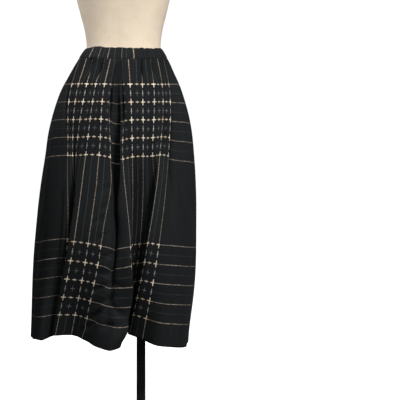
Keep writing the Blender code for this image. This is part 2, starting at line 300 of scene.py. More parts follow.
# One row a fold line: name, place on the cloth, turn at the waistband, turn at the first stripe,
# then x, y, height at the hip, the lower block of stripes, and the hem.
foldLines = (
    ("seam right", -50.0, -92, -80, (-23.0, -2.0, 9.4), (-25.6, -4.2, -15.2), (-26.8, -4.2, -42.6)),
    ("side lobe", -43.0, -84, -68, (-20.5, -7.4, 9.4), (-22.3, -11.2, -14.8), (-24.4, -11.2, -42.3)),
    ("side front", -38.5, -75, -58, (-17.0, -10.9, 9.7), (-18.3, -14.6, -14.0), (-21.5, -14.4, -41.7)),
    ("right edge", -33.0, -64, -51.5, (-14.0, -12.6, 9.8), (-13.7, -15.6, -13.6), (-19.0, -11.4, -41.2)),
    ("right tuck in", -30.0, -51, -43.3, (-12.9, -12.8, 9.7), (-11.0, -12.7, -13.9), (-16.5, -9.6, -41.1)),
    ("right tuck", -26.5, -40.5, -34.5, (-11.9, -12.4, 9.7), (-9.2, -12.5, -14.1), (-14.0, -9.4, -41.0)),
    ("right tuck out", -22.5, -29, -25, (-10.6, -13.5, 9.7), (-11.6, -15.7, -14.2), (-16.9, -11.9, -40.9)),
    ("facet edge", -21.0, -23.5, -21, (-9.3, -14.5, 9.7), (-12.3, -17.2, -14.2), (-18.1, -13.0, -40.9)),
    ("column 3", -19.0, -19.5, -17, (-8.0, -14.8, 9.8), (-10.6, -17.9, -14.2), (-17.0, -13.8, -40.8)),
    ("column 2", -14.5, -7, -7.5, (-4.1, -15.5, 9.6), (-6.3, -19.3, -14.6), (-12.6, -12.9, -40.7)),
    ("pleat lip right", -12.0, -0.6, -1.2, (-2.5, -15.6, 9.3), (-4.4, -19.6, -14.9), (-10.6, -13.9, -40.9)),
    ("column 1", -10.0, 1.2, 0.2, (-1.2, -15.6, 9.0), (-2.8, -19.7, -15.2), (-9.0, -15.3, -41.3)),
    ("pleat edge right", -7.5, 2.2, 1.6, (-1.3, -14.3, 8.5), (-0.9, -19.9, -15.5), (-7.1, -17.3, -41.6)),
    ("pleat back right", -3.5, 3.2, 3.6, (-0.9, -12.9, 7.6), (0.3, -18.6, -15.9), (-4.5, -20.8, -42.1)),
    ("pleat middle", 0.0, 3.9, 4.9, (0.8, -12.7, 7.3), (0.8, -16.5, -16.2), (-1.6, -22.9, -42.5)),
    ("pleat back left", 3.5, 4.6, 6.2, (2.4, -13.1, 7.6), (1.5, -18.2, -16.0), (1.2, -23.6, -42.9)),
    ("pleat edge left", 7.5, 5.2, 8.0, (1.9, -15.2, 8.4), (4.0, -19.2, -15.8), (3.0, -21.0, -42.8)),
    ("column 4", 10.5, 6.0, 9.4, (2.7, -15.3, 8.5), (5.3, -18.6, -15.7), (2.6, -17.3, -42.6)),
    ("pleat lip left", 12.2, 7.0, 10.2, (3.8, -15.2, 8.8), (5.4, -17.1, -15.5), (1.9, -15.1, -42.5)),
    ("column 5", 14.5, 15.2, 17, (5.1, -14.9, 9.1), (5.0, -15.0, -15.2), (1.3, -12.2, -42.3)),
    ("deep fold right", 18.0, 29.5, 27, (7.3, -14.2, 9.3), (6.3, -13.3, -15.0), (1.0, -7.9, -42.2)),
    ("deep fold left", 21.5, 38.5, 36, (8.9, -12.5, 9.3), (8.3, -13.2, -14.8), (2.2, -5.4, -41.8)),
    ("column 6", 25.0, 48, 45, (11.2, -12.8, 9.5), (9.8, -14.4, -14.5), (2.7, -7.4, -41.2)),
    ("facet edge left", 26.6, 52.5, 49.5, (11.8, -12.6, 9.6), (9.1, -16.6, -14.5), (2.7, -8.8, -41.0)),
    ("column 7", 28.0, 57, 52.5, (12.4, -12.3, 9.7), (9.7, -17.2, -14.4), (3.3, -9.5, -40.8)),
    ("column 8", 32.5, 73, 62, (14.4, -11.0, 9.4), (12.5, -15.7, -14.9), (7.4, -11.5, -41.6)),
    ("left tuck", 37.0, 80, 67, (14.2, -9.1, 8.9), (15.8, -13.0, -15.3), (11.4, -14.1, -42.6)),
    ("seam left", 42.0, 84, 72, (16.4, -9.4, 8.3), (18.8, -9.6, -15.8), (15.8, -13.4, -43.1)),
    ("left side", 49.0, 91, 82, (19.6, -5.0, 8.0), (20.9, -3.9, -16.3), (19.2, -7.5, -44.0)),
    ("left side back", 55.0, 97, 93, (20.6, 0.4, 7.9), (21.1, 2.0, -16.6), (19.9, -1.4, -44.3)),
    ("back 1", 60.5, 105, 103, (19.5, 5.0, 8.0), (20.3, 7.2, -16.6), (20.2, 4.4, -44.3)),
    ("back 2", 66.0, 114, 112, (17.2, 8.6, 8.1), (18.2, 11.6, -16.5), (18.6, 9.8, -44.3)),
    ("back 3", 70.5, 121, 120, (15.3, 9.4, 8.1), (14.9, 11.3, -16.5), (14.5, 10.2, -44.4)),
    ("back 4", 76.0, 130, 128, (13.2, 11.9, 8.2), (13.0, 15.0, -16.5), (13.4, 15.0, -44.5)),
    ("back 5", 82.0, 141, 139, (9.8, 13.6, 8.2), (8.7, 16.9, -16.5), (8.2, 17.9, -44.5)),
    ("back 6", 86.5, 151, 149, (7.6, 12.6, 8.2), (5.9, 14.3, -16.4), (4.9, 14.4, -44.3)),
    ("back 7", 91.5, 166, 166, (4.2, 14.3, 8.3), (2.4, 17.0, -16.4), (1.3, 18.2, -44.5)),
    ("back 8", 97.5, 184, 184, (-1.0, 14.2, 8.4), (-3.5, 17.3, -16.3), (-5.0, 19.2, -44.5)),
    ("back 9", 102.0, 196, 196, (-3.6, 12.5, 8.4), (-6.1, 13.9, -16.2), (-7.5, 14.2, -44.1)),
    ("back 10", 107.0, 207, 208, (-7.0, 13.9, 8.6), (-9.8, 16.2, -16.0), (-11.2, 17.0, -44.1)),
    ("back 11", 113.0, 222, 222, (-12.4, 12.4, 8.8), (-15.3, 14.0, -15.9), (-17.0, 14.8, -43.9)),
    ("back 12", 117.5, 232, 232, (-14.0, 10.4, 8.9), (-16.4, 10.8, -15.8), (-18.0, 10.4, -43.4)),
    ("back 13", 122.0, 243, 241, (-17.8, 9.2, 9.1), (-20.6, 9.9, -15.6), (-22.6, 10.0, -43.3)),
    ("back 14", 128.0, 257, 259, (-21.5, 4.0, 9.3), (-24.5, 3.6, -15.4), (-26.6, 3.0, -42.9)),
)


# Local moves of the cloth: place round and down, spread round and down, then the move in x, y, z, all in cm.
nudges = (
    (-9.4, 14.0, 2.3, 7.5, -0.95, 1.6, 0.0),     # middle pleat turns under on both sides
    (9.3, 14.0, 2.3, 7.5, 0.45, 1.4, 0.0),
    (8.6, 67.0, 3.6, 7.5, 1.6, 0.0, 0.0),        # right side of the middle lobe covers the deep fold
    (-2.5, 58.0, 4.0, 7.0, 0.0, 0.0, -0.8),      # stripes dip in the middle pleat
    (9.0, 57.0, 3.0, 6.0, 0.0, 0.0, 0.5),
    (-33.2, 69.0, 2.4, 9.0, 1.9, 1.3, 0.0),      # edge of the side lobe turns in behind the right facet
    (4.6, 40.0, 2.6, 7.0, -1.1, -0.9, 0.0),      # left wall of the middle pleat comes forward
    (24.0, 40.0, 2.0, 7.5, 1.0, 0.9, 0.0),       # fold left of the middle turns behind its facet
    (0.0, 14.5, 7.0, 7.0, 0.0, 1.7, 0.0),
    (-9.0, 37.5, 3.2, 7.0, 1.2, -0.3, 0.0),      # stripe beside the middle pleat bows out
    (-4.0, 46.0, 2.6, 11.0, 0.6, 1.6, 0.0),      # middle pleat runs deeper
    (0.0, 42.0, 3.0, 12.0, 0.2, 1.5, 0.0),
    (20.0, 42.0, 4.0, 8.0, -0.2, 2.2, 0.0),      # deep fold left of the middle
    (3.0, 78.5, 4.5, 3.5, 0.5, -0.4, 0.0),       # corner of the middle lobe above the hem
    (7.5, 76.5, 3.0, 3.2, 1.1, 0.0, 0.0),
    (6.0, 82.5, 4.2, 4.2, -1.2, 0.0, 0.3),
    (21.0, 82.5, 4.5, 4.5, 0.0, 0.0, 2.2),       # notch of the hem beside it
    (60.5, 83.0, 9.0, 14.0, -1.7, 0.0, 0.0),     # left side draws in towards the hem
    (56.0, 19.0, 8.0, 10.0, 0.62, 0.0, 0.0),     # both hips are a little fuller
    (-50.0, 22.3, 6.0, 6.0, -0.42, 0.0, 0.0),
    (134.0, 22.3, 6.0, 6.0, -0.42, 0.0, 0.0),
    (-36.0, 82.0, 3.0, 6.0, 0.0, 0.0, -0.75),    # hem of the side lobe hangs lower in front
)


# Gathers that turn in under the band: place round the cloth, half width, depth, how far down, in cm.
pinches = (
    (-46.5, 1.7, 1.2, 12.0), (-40.2, 1.3, 1.0, 9.0), (-35.3, 1.2, 0.9, 8.0), (-30.25, 1.0, 0.7, 7.0),
    (-24.6, 2.0, 1.4, 7.6), (-18.7, 1.9, 1.4, 7.4), (-10.3, 1.3, 0.45, 8.0), (9.6, 1.1, 0.35, 8.0),
    (19.2, 1.5, 1.1, 7.4), (24.7, 1.9, 1.3, 7.6),
    (30.3, 1.0, 0.8, 7.0), (35.4, 1.8, 1.4, 13.0), (43.6, 1.3, 1.0, 8.0), (52.0, 1.7, 1.2, 10.0),
    (57.6, 1.3, 0.9, 7.0), (63.0, 1.7, 1.3, 12.0), (69.4, 1.3, 1.0, 8.0), (75.2, 1.8, 1.3, 11.0),
    (81.0, 1.3, 0.9, 7.0), (86.0, 1.7, 1.2, 10.0), (92.8, 1.8, 1.2, 12.0), (98.5, 1.2, 0.9, 7.0),
    (104.0, 1.8, 1.3, 11.0), (110.4, 1.4, 1.0, 8.0), (115.6, 1.6, 1.2, 10.0), (121.6, 1.3, 0.9, 7.0),
    (127.5, 1.7, 1.2, 11.0),
)


# Creases and soft ridges on the hanging cloth: place round, place down, half width, half length, height in cm,
# and lean in degrees.
creases = (
    (-26.2, 24.0, 1.3, 13.0, -0.5, 0), (-21.3, 14.0, 0.8, 7.0, -0.4, 0), (-16.8, 12.0, 0.8, 5.0, -0.45, 0),
    (-30.4, 14.0, 0.7, 9.0, -0.3, 0), (29.4, 21.0, 0.9, 10.0, -0.65, 0), (21.2, 13.0, 0.7, 7.0, -0.35, 0),
    (25.6, 12.0, 0.7, 5.0, -0.3, 0), (16.6, 20.0, 0.8, 8.0, -0.35, 0), (-12.6, 22.0, 0.9, 9.0, 0.25, 0),
    (-35.0, 12.0, 1.4, 7.0, -0.8, 0), (-40.5, 30.0, 2.2, 20.0, 0.9, 0), (-35.6, 55.0, 1.5, 19.0, -1.5, 0),
    (39.0, 38.0, 2.0, 22.0, 0.5, 0), (34.5, 6.8, 0.8, 5.0, -1.3, -8), (-45.5, 70.0, 1.8, 16.0, -0.7, 0),
    # small drag folds beside the middle pleat and low on the middle lobe
    (-11.2, 38.0, 0.55, 2.2, -0.40, 55), (-10.2, 42.5, 0.55, 2.6, -0.45, 50),
    (-11.6, 46.5, 0.60, 2.4, -0.45, 62),
    (-10.4, 51.0, 0.6, 2.8, -0.50, 58), (-6.8, 55.5, 0.7, 3.6, -0.65, 66), (-4.5, 60.0, 0.9, 4.4, -0.80, 74),
    (-6.4, 64.5, 0.8, 3.8, -0.75, 62), (-2.0, 68.0, 1.0, 4.8, -0.95, 70), (-5.8, 72.5, 0.9, 4.4, -0.80, 56),
    (1.0, 75.0, 0.9, 3.8, -0.85, 80), (-8.6, 77.0, 0.8, 3.4, -0.60, 48), (2.5, 63.0, 0.8, 3.4, -0.60, -70),
    (4.0, 70.5, 0.9, 3.8, -0.70, -60), (-15.5, 40.0, 0.6, 4.0, -0.35, 24), (-24.0, 66.0, 0.7, 4.0, -0.30, 30),
    (48.0, 60.0, 1.4, 9.0, -0.45, 12), (45.5, 34.0, 1.2, 8.0, -0.40, -14), (-43.0, 52.0, 1.2, 8.0, -0.45, 16),
)


skirt = {
    "eyeHeight": 0.760,          # level that the heights below are measured from
    "waist": (-0.0405, -0.070),
    "seamRight": -50.0, "seamLeft": 42.0, "girth": 184.0,     # places round the cloth, cm
    "levels": (0.0, 7.8, 29.4, 53.4, 81.3),                   # places down the cloth, cm
    "skirtTop": (13.05, 11.05, -0.2, 0.0),                    # half width, half depth, x, y
    "firstRow": (16.6, 13.4, -0.7, -0.4),
    "firstRowHeight": (30.6, 1.3),                            # height behind, and its dip in front
    "bandBottom": (38.2, 1.5), "bandTop": (41.1, 1.1),
    "foldLines": foldLines, "nudges": nudges, "pinches": pinches, "creases": creases,
    "gathers": 44,
    # depth of the gathers against the way down the cloth
    "gatherDepths": {
        "fine": ((0, 2, 6, 12, 20), (0.06, 0.26, 0.30, 0.18, 0.0)),
        "middle": ((0, 3, 9, 17, 26, 36), (0.0, 0.08, 0.34, 0.28, 0.10, 0.0)),
        "broad": ((0, 10, 24, 44, 62, 81), (0.0, 0.05, 0.20, 0.22, 0.14, 0.08)),
        "tiny": ((0, 1.2, 3.5, 7), (0.03, 0.10, 0.06, 0.0)),
    },
    "pinchFade": 0.45,           # share of a pinch's way down before it fades
    "pinchDraw": 0.82,           # how far it draws the cloth together
    "wall": 0.0008,
    "columns": 236, "rows": 138, "upperRows": 22, "upperLength": 8,
    # side seam: places of the turned columns, and how deep they lie, cm
    "lip": (0.03, 0.03, 0.05, 0.12, 0.3), "lipDepth": (0.75, 0.35, 0.12, 0.03, 0.0),
    "hemTurn": 2.4,              # hem turned up inside, cm
    "hemRound": 0.10,            # radius of the hem's edge, cm
}


def roundGirth(values, at, fullTurn=0.0):
    # one column of the fold table as a closed curve round the skirt
    u = np.array([line[1] for line in skirt["foldLines"]])
    girth = skirt["girth"]
    knots = np.concatenate([u[-4:] - girth, u, u[:4] + girth])
    values = np.asarray(values, float)
    ring = np.concatenate([values[-4:] - fullTurn, values, values[:4] + fullTurn])
    return smoothCurve(knots, ring, at)


def onOval(oval, degrees):
    wide, deep, x, y = oval
    turn = np.radians(degrees)
    return x + wide * np.sin(turn), y - deep * np.cos(turn)


def frontShare(degrees):
    return np.clip(np.cos(np.radians(np.asarray(degrees) - 15)), 0, 1) ** 1.5


def dipped(height, dip, degrees):
    return height - dip * frontShare(degrees)


def bandHeights(degrees):
    return dipped(*skirt["bandBottom"], degrees), dipped(*skirt["bandTop"], degrees)


def gatherWave(u, v):
    # the small uneven gathers, close together under the waistband and merging lower down
    turn = 2 * math.pi * (u - skirt["seamRight"]) / skirt["girth"]
    phase = skirt["gathers"] * turn + 1.1 * np.sin(3 * turn + 0.6) + 0.7 * np.sin(7 * turn + 2.1)
    uneven = 0.78 + 0.22 * np.sin(5 * turn + 1.3) * np.sin(11 * turn + 0.4)
    fine, middle, broad, tiny = (np.interp(v, *skirt["gatherDepths"][kind])
                                 for kind in ("fine", "middle", "broad", "tiny"))

    def ridge(angle):
        # round on the outside, tight where it turns back in
        return 2 * np.sqrt(np.cos(angle / 2) ** 2 + 0.02) - 1.15

    return uneven * (
        fine * ridge(phase)
        + middle * ridge(phase / 2 + 0.9 + 0.8 * np.sin(4 * turn))
        + broad * np.cos(phase / 4 + 2.0 * np.sin(2 * turn + 0.5))
    ) + tiny * np.cos(2.6 * phase + 1.7 * np.sin(9 * turn))


def clothPoints(u, v):
    # the cloth at each place round it, u, and down it, v: through the fold lines, then gathers and creases
    u, v = np.asarray(u, float), np.asarray(v, float)
    lines = skirt["foldLines"]
    waistTurn = roundGirth([line[2] for line in lines], u, 360.0)
    rowTurn = roundGirth([line[3] for line in lines], u, 360.0)
    rings = [np.stack([*onOval(skirt["skirtTop"], waistTurn), bandHeights(waistTurn)[0]])]
    rings.append(np.stack([*onOval(skirt["firstRow"], rowTurn), dipped(*skirt["firstRowHeight"], rowTurn)]))
    for place in (4, 5, 6):
        rings.append(np.stack([roundGirth([line[place][axis] for line in lines], u) for axis in range(3)]))
    rings = np.array(rings)
    grid = np.empty((len(u), len(v), 3))
    for i in range(len(u)):
        for axis in range(3):
            grid[i, :, axis] = smoothCurve(skirt["levels"], rings[:, axis, i], v)
    along = np.gradient(grid[:, :, :2], axis=0)
    across = np.stack([along[:, :, 1], -along[:, :, 0]], axis=2)
    across /= np.maximum(np.linalg.norm(across, axis=2, keepdims=True), 1e-6)
    depth = gatherWave(u[:, None], v[None, :])
    drawn = np.zeros(grid.shape[:2] + (2,))
    early = skirt["pinchFade"]
    for atU, wideU, deep, untilV in skirt["pinches"]:
        share = (u - atU) / wideU
        fade = 1 - np.clip((v - early * untilV) / ((1 - early) * untilV), 0, 1)
        fade = fade * fade * (3 - 2 * fade)
        bottom = np.stack([[np.interp(atU, u, grid[:, j, axis]) for axis in (0, 1)] for j in range(len(v))])
        pull = skirt["pinchDraw"] * np.exp(-share ** 4)[:, None] * fade[None, :]
        drawn += (bottom[None] - grid[:, :, :2]) * pull[:, :, None]
        depth = depth - deep * np.exp(-share ** 2)[:, None] * (fade * np.clip(0.3 + v / 2.5, 0, 1))[None, :]
    for atU, atV, wide, long, rise, lean in skirt["creases"]:
        cosLean, sinLean = math.cos(math.radians(lean)), math.sin(math.radians(lean))
        offU, offV = u[:, None] - atU, v[None, :] - atV
        sideways, lengthways = offU * cosLean + offV * sinLean, offV * cosLean - offU * sinLean
        depth = depth + rise * np.exp(-(sideways / wide) ** 2 - (lengthways / long) ** 2)
    grid[:, :, :2] += drawn + across * depth[:, :, None]
    for atU, atV, wideU, wideV, *move in skirt["nudges"]:
        share = np.exp(-((u[:, None] - atU) / wideU) ** 2 - ((v[None, :] - atV) / wideV) ** 2)
        grid += share[:, :, None] * np.array(move)
    return grid


def outwardNormals(grid):
    along = np.gradient(grid, axis=0)
    down = np.gradient(grid, axis=1)
    normal = np.cross(down, along)
    return normal / np.maximum(np.linalg.norm(normal, axis=2, keepdims=True), 1e-6)


def seamNormals(grid):
    # the turned columns at a seam share one place, so they borrow the normal of the cloth beside it
    normal = outwardNormals(grid)
    turned = len(skirt["lip"])
    for i in range(turned):
        normal[i] = normal[turned + 1]
        normal[-1 - i] = normal[-turned - 2]
    return normal


def makePanel(name, start, end):
    # places round the cloth: seam allowance turned in at both ends, finer columns next to it
    lip, lipDepth = np.array(skirt["lip"]), np.array(skirt["lipDepth"])
    turned, hem = len(lip), skirt["levels"][-1]
    inner = np.linspace(start + 2 * lip[-1], end - 2 * lip[-1], skirt["columns"] - 2 * turned)
    u = np.concatenate([start + lip, inner, end - lip[::-1]])
    depth = np.concatenate([lipDepth, np.zeros(len(inner)), lipDepth[::-1]])
    # places down the cloth, closer together under the waistband
    upper = np.linspace(0, skirt["upperLength"], skirt["upperRows"])[:-1]
    body = np.concatenate([upper, np.linspace(skirt["upperLength"], hem, skirt["rows"] - len(upper))])
    grid = clothPoints(u, body)
    normal = seamNormals(grid)
    grid = grid - normal * depth[:, None, None]
    grid[:, 0, 2] -= 0.02
    # round the hem's edge, then up inside
    edge, out = grid[:, -1], normal[:, -1]
    down = grid[:, -1] - grid[:, -3]
    down /= np.linalg.norm(down, axis=1, keepdims=True)
    bend = skirt["hemRound"]
    turns = []
    for angle in (45, 90, 135, 180):
        bent = math.radians(angle)
        turns.append(edge + down * bend * math.sin(bent) - out * bend * (1 - math.cos(bent)))
    rises = np.linspace(0.3, skirt["hemTurn"], 6)
    for rise in rises:
        level, levelOut = clothAtRise(grid, body, rise)
        turns.append(level - levelOut * (2 * bend - 0.03 * rise / skirt["hemTurn"]))
    points = np.concatenate([grid, np.stack(turns, axis=1)], axis=1)
    lengths = np.concatenate([body, hem + 0.08 * np.arange(1, 5), hem + 0.3 + rises])
    uv = np.empty(points.shape[:2] + (2,))
    uv[:, :, 0] = ((u - start) / 100)[:, None]
    uv[:, :, 1] = 1 - (lengths / 100)[None, :]
    # the allowance lies before the cloth's start and past its end, and one centimetre of it comes first
    allowance = np.array([-0.8, -0.4, -0.15, 0.05, 0.25]) / 100 + 0.0005
    pastEnd = (end - start) / 100 + np.array([-0.25, -0.05, 0.15, 0.4, 0.8]) / 100 - 0.0005
    uv[:turned, :, 0], uv[-turned:, :, 0] = allowance[:, None], pastEnd[:, None]
    uv[:, :, 0] = np.clip(uv[:, :, 0] + 0.01, 0.0, 1.0)
    panel = shapedGrid(name, toWorld(points), uv)
    giveWall(panel, skirt["wall"])
    return panel


def clothAtRise(grid, body, rise):
    # the place on the panel a little above the hem, and the way out of the cloth there
    at = skirt["levels"][-1] - rise
    j = np.searchsorted(body, at)
    t = (at - body[j - 1]) / (body[j] - body[j - 1])
    return grid[:, j - 1] * (1 - t) + grid[:, j] * t, seamNormals(grid)[:, j]


check = {
    "ground": (0.0098, 0.0114, 0.0120, 1),
    "blockGround": (0.0092, 0.0100, 0.0112, 1),
    "tan": (0.47, 0.385, 0.305, 1),
    "cream": (0.90, 0.79, 0.62, 1),
    "straw": (0.44, 0.375, 0.305, 1),
    "apricot": (0.64, 0.48, 0.34, 1),
    "white": (0.56, 0.56, 0.52, 1),
    "grey": (0.040, 0.045, 0.047, 1),
    "darkCross": (0.21, 0.225, 0.24, 1),
    # two groups of columns and two blocks of rows, and the places that part them, cm
    "columnStarts": (17.5, 60.0), "columnPitch": 4.5, "columnSpan": 22.5, "columnsPart": 50.0,
    "rowStarts": (7.8, 53.4), "rowPitch": 5.4, "rowSpan": 21.6, "rowsPart": 41.0,
    "upperEnds": 18.0, "lowerStarts": 62.0,      # levels that part the lines above, between and below
    "lineHalf": 0.115,
    "wander": (0.22, 0.18),      # how far the lines stray sideways and up, cm
    "beads": (17.0, 0.24, 0.78),                 # turn a centimetre, swing, middle
    "speckle": (0.42, 1.36),
    "sideRows": (17.0, 0.72),    # place where the rows of the right side end, and their share
    # one row a kind of crossing: upright arm, level arm, their widths in cm, and strength
    "crossings": {
        "tanOnTan": (1.04, 0.88, 0.23, 0.22, 1.0),
        "tanOnGrey": (0.98, 0.34, 0.15, 0.13, 0.62),
        "greyOnTan": (0.42, 0.66, 0.12, 0.17, 0.80),
        "greyOnGrey": (0.84, 0.74, 0.12, 0.13, 0.60),
    },
    # painted shade: crosses dimmed low in the deep fold left of the middle
    "foldShadedCrosses": (66.0, 74.6, 50.0, 0.45),     # from place, to place, below level, share left
    "threadPitch": (0.00070, 0.00078),           # metres round and down
    "stitchLevel": 79.1, "stitchTurn": 21.0,     # row of hem stitches
    # fainter lines, thinner threads and painted shade in the deep fold: place round the front, share above,
    # between and below the blocks
    "thinAndShadedLines": ((17.5, 0.45, 0.40, 0.70), (22.0, 1.0, 0.60, 1.0), (35.5, 0.95, 0.78, 0.90),
                  (40.0, 0.50, 0.55, 0.80),
                  (60.0, 0.70, 0.95, 0.60), (64.5, 0.85, 0.50, 0.60), (69.0, 0.60, 0.45, 0.60),
                  (73.5, 0.60, 0.22, 0.45), (78.0, 0.55, 1.10, 0.90), (82.5, 0.70, 0.50, 0.90)),
    # painted shade, deep in folds and under the band: place, level, half width, half length, how much darker
    "foldShades": ((11.0, 45.0, 3.6, 18.0, 0.48), (18.5, 42.0, 2.0, 8.0, 0.35), (66.5, 44.0, 3.0, 13.0, 0.60),
                   (56.0, 63.5, 2.8, 6.5, 0.50), (22.0, 3.0, 12.0, 7.0, 0.42), (17.0, 22.0, 5.0, 10.0, 0.22),
                   (70.0, 3.0, 12.0, 6.0, 0.20)),
    "thinBandLines": ((22.0, 0.45, 0.45, 0.45), (26.5, 0.75, 0.75, 0.75), (31.0, 0.8, 0.8, 0.8),
                      (35.5, 0.45, 0.45, 0.45)),
}


def stretchGroup(nodes, value, starts, split):
    # distance from the start of the group of stripes that the place belongs to
    late = nodes.math("GREATER_THAN", value, split)
    return nodes.math("SUBTRACT", nodes.math("SUBTRACT", value, starts[0]),
                      nodes.math("MULTIPLY", late, starts[1] - starts[0]))


def inside(nodes, value, low, high, soft=0.02):
    return nodes.math("MULTIPLY", nodes.smooth(value, low - soft, low + soft),
                      nodes.smooth(value, high - soft, high + soft, 1.0, 0.0))


def clothMaterial(name, rowsToo=True):
    nodes = NodeTree(name)
    uv = nodes.node("ShaderNodeUVMap", uv_map="cloth").outputs[0]
    split = nodes.node("ShaderNodeSeparateXYZ")
    nodes.link(uv, split.inputs[0])
    # a little waviness, because woven lines are never ruled
    wander = nodes.math("SUBTRACT", nodes.noise(uv, 9.0, 1.0), 0.5)
    u = nodes.math("ADD", nodes.math("MULTIPLY_ADD", split.outputs[0], 100.0, -1.0),
                   nodes.math("MULTIPLY", wander, check["wander"][0]))
    v = nodes.math("ADD", nodes.math("MULTIPLY_ADD", split.outputs[1], -100.0, 100.0),
                   nodes.math("MULTIPLY", wander, check["wander"][1]))
    across = stretchGroup(nodes, u, check["columnStarts"], check["columnsPart"])
    down = stretchGroup(nodes, v, check["rowStarts"], check["rowsPart"])
    halfU, halfV = check["columnPitch"] / 2, check["rowPitch"] / 2
    inColumns = inside(nodes, across, -0.25, check["columnSpan"] + 0.25)
    inRows = inside(nodes, down, -0.25, check["rowSpan"] + 0.25)
    block = nodes.math("MULTIPLY", inColumns, inRows)

    # nearest crossing of the half-pitch lattice
    stepU = nodes.math("ROUND", nodes.math("DIVIDE", across, halfU))
    stepV = nodes.math("ROUND", nodes.math("DIVIDE", down, halfV))
    offU = nodes.math("ABSOLUTE", nodes.math("SUBTRACT", across, nodes.math("MULTIPLY", stepU, halfU)))
    offV = nodes.math("ABSOLUTE", nodes.math("SUBTRACT", down, nodes.math("MULTIPLY", stepV, halfV)))
    oddU = nodes.math("PINGPONG", stepU, 1.0)       # 1 on a grey column, 0 on a tan one
    oddV = nodes.math("PINGPONG", stepV, 1.0)

    # per-crossing chance, for uneven colour and strength
    chance = nodes.node("ShaderNodeTexWhiteNoise", noise_dimensions="2D")
    cell = nodes.node("ShaderNodeCombineXYZ")
    for socket, step, value, part, jump in ((0, stepU, u, check["columnsPart"], 37.0),
                                            (1, stepV, v, check["rowsPart"], 23.0)):
        late = nodes.math("MULTIPLY", nodes.math("GREATER_THAN", value, part), jump)
        nodes.link(nodes.math("ADD", step, late), cell.inputs[socket])
    nodes.link(cell.outputs[0], chance.inputs["Vector"])
    luck = chance.outputs[0]

    # continuous lines outside the blocks
    half = check["lineHalf"]
    threads = nodes.noise(nodes.stretched(uv, (900.0, 900.0, 1.0)), 1.0, 2.0, 0.7)
    rough = nodes.math("MULTIPLY", nodes.math("SUBTRACT", threads, 0.5), 0.10)
    columnLine = nodes.smooth(nodes.math("ADD", offU, rough), half * 0.75, half * 1.35, 1.0, 0.0)
    rowLine = nodes.smooth(nodes.math("ADD", offV, rough), half * 0.6, half * 1.15, 1.0, 0.0)
    speckle = nodes.smooth(nodes.noise(uv, 210.0, 1.0), 0.30, 0.70, *check["speckle"])
    beadTurn, beadSwing, beadMiddle = check["beads"]

    def beads(value):
        wave = nodes.math("SINE", nodes.math("MULTIPLY", value, beadTurn))
        return nodes.math("MULTIPLY", speckle, nodes.math("MULTIPLY_ADD", wave, beadSwing, beadMiddle))

    beadU, beadV = beads(v), beads(u)
    openColumn = nodes.math("MULTIPLY", nodes.math("MULTIPLY", columnLine, beadU),
                            nodes.math("MULTIPLY", inColumns, nodes.math("SUBTRACT", 1.0, inRows)))
    openRow = nodes.math("MULTIPLY", nodes.math("MULTIPLY", rowLine, beadV),
                         nodes.math("MULTIPLY", inRows, nodes.math("SUBTRACT", 1.0, inColumns)))
    share = 1.0
    # some column lines are drawn fainter; in the deep fold left of the middle this is painted shade
    for place, above, between, below in (check["thinAndShadedLines"] if rowsToo else check["thinBandLines"]):
        near = nodes.smooth(nodes.math("ABSOLUTE", nodes.math("SUBTRACT", u, place)), 0.9, 1.1, 1.0, 0.0)
        byHeight = nodes.blend(nodes.math("GREATER_THAN", v, check["upperEnds"]), above, between)
        byHeight = nodes.blend(nodes.math("GREATER_THAN", v, check["lowerStarts"]), byHeight, below)
        share = nodes.math("MULTIPLY", share, nodes.blend(near, 1.0, byHeight))
    if rowsToo:
        openColumn = nodes.math("MULTIPLY", openColumn, share)
        sideEnds, sideShare = check["sideRows"]
        rowShare = nodes.math("MULTIPLY", nodes.blend(nodes.math("LESS_THAN", u, sideEnds), 1.0, sideShare),
                              nodes.math("MULTIPLY_ADD", luck, 0.40, 0.66))
        openRow = nodes.math("MULTIPLY", openRow, rowShare)
    else:
        openColumn = nodes.math("MULTIPLY", nodes.math("MULTIPLY", columnLine, beadU),
                                nodes.math("MULTIPLY", inColumns, share))

    # crosses inside the blocks: arm lengths, widths and strength by the kind of crossing
    kinds = [check["crossings"][kind] for kind in ("tanOnTan", "tanOnGrey", "greyOnTan", "greyOnGrey")]
    armV, armH, wideV, wideH, strength = (
        nodes.blend(oddU, nodes.blend(oddV, *measures[:2]), nodes.blend(oddV, *measures[2:]))
        for measures in zip(*kinds))

    def arm(wide, far, length, near):
        # widest at the crossing, half as wide at its end
        taper = nodes.math("MULTIPLY_ADD", nodes.math("DIVIDE", far, length), -0.55, 1.0)
        reach = nodes.math("MULTIPLY", wide, taper)
        side = nodes.smooth(nodes.math("SUBTRACT", reach, nodes.math("ADD", near, rough)), -0.02, 0.04)
        return nodes.math("MULTIPLY", side, nodes.smooth(nodes.math("SUBTRACT", length, far), -0.03, 0.05))

    cross = nodes.math("MAXIMUM", arm(wideV, offV, armV, offU), arm(wideH, offU, armH, offV))
    cross = nodes.math("MULTIPLY", cross, block)
    strength = nodes.math("MULTIPLY", strength, nodes.math("MULTIPLY_ADD", luck, 0.50, 0.62))
    # painted shade: the crosses are dimmed low in the deep fold left of the middle
    shadeFrom, shadeTo, shadeBelow, shadeShare = check["foldShadedCrosses"]
    crossShade = nodes.math("MULTIPLY", inside(nodes, u, shadeFrom, shadeTo, 0.4),
                      nodes.math("GREATER_THAN", v, shadeBelow))
    strength = nodes.math("MULTIPLY", strength, nodes.blend(crossShade, 1.0, shadeShare))

